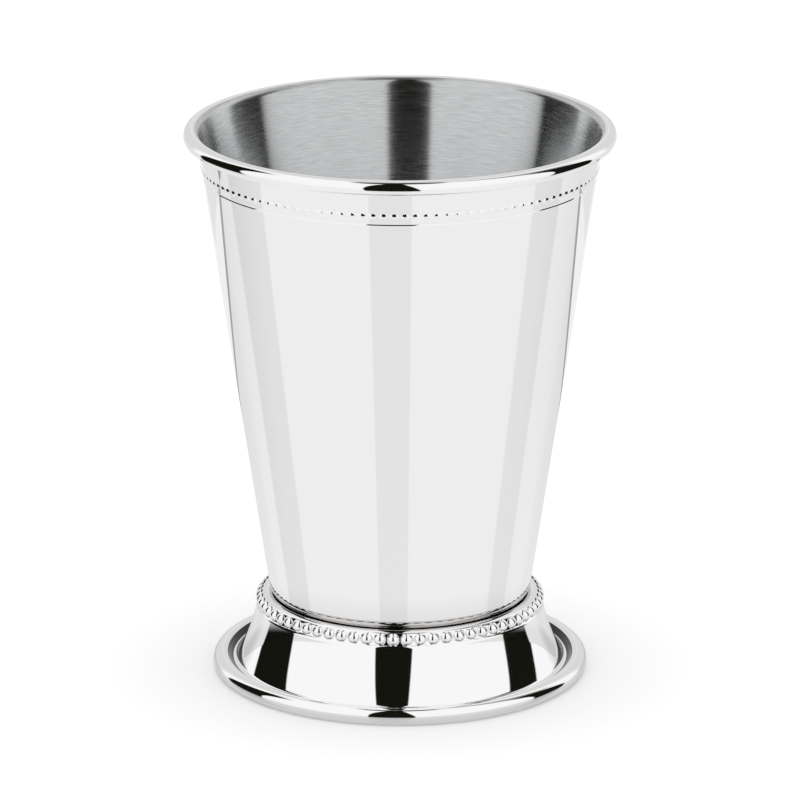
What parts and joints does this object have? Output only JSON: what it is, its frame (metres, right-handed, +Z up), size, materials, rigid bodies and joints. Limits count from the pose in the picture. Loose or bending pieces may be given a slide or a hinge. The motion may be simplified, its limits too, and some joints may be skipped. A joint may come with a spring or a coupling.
{
  "type": "julep cup",
  "caption": "Footed metal julep cup with a tapered round body, an outward rolled rim, beaded bands and a flared hollow foot, for holding a cold drink.",
  "frame": {"origin": "on the cup's axis, in the level face that the foot ring stands on", "axes": "+Z up along the cup's axis of revolution, +X and +Y level; the bead rows start on +X"},
  "size_m": [0.084, 0.084, 0.11],
  "materials": {
    "polished_steel": "stainless steel, mirror polished",
    "satin_steel": "stainless steel, satin, brushed round the axis"
  },
  "bodies": {
    "root": {"cup_body": "polished_steel", "foot": "polished_steel", "weld_spots": "satin_steel"}
  },
  "joints": []
}
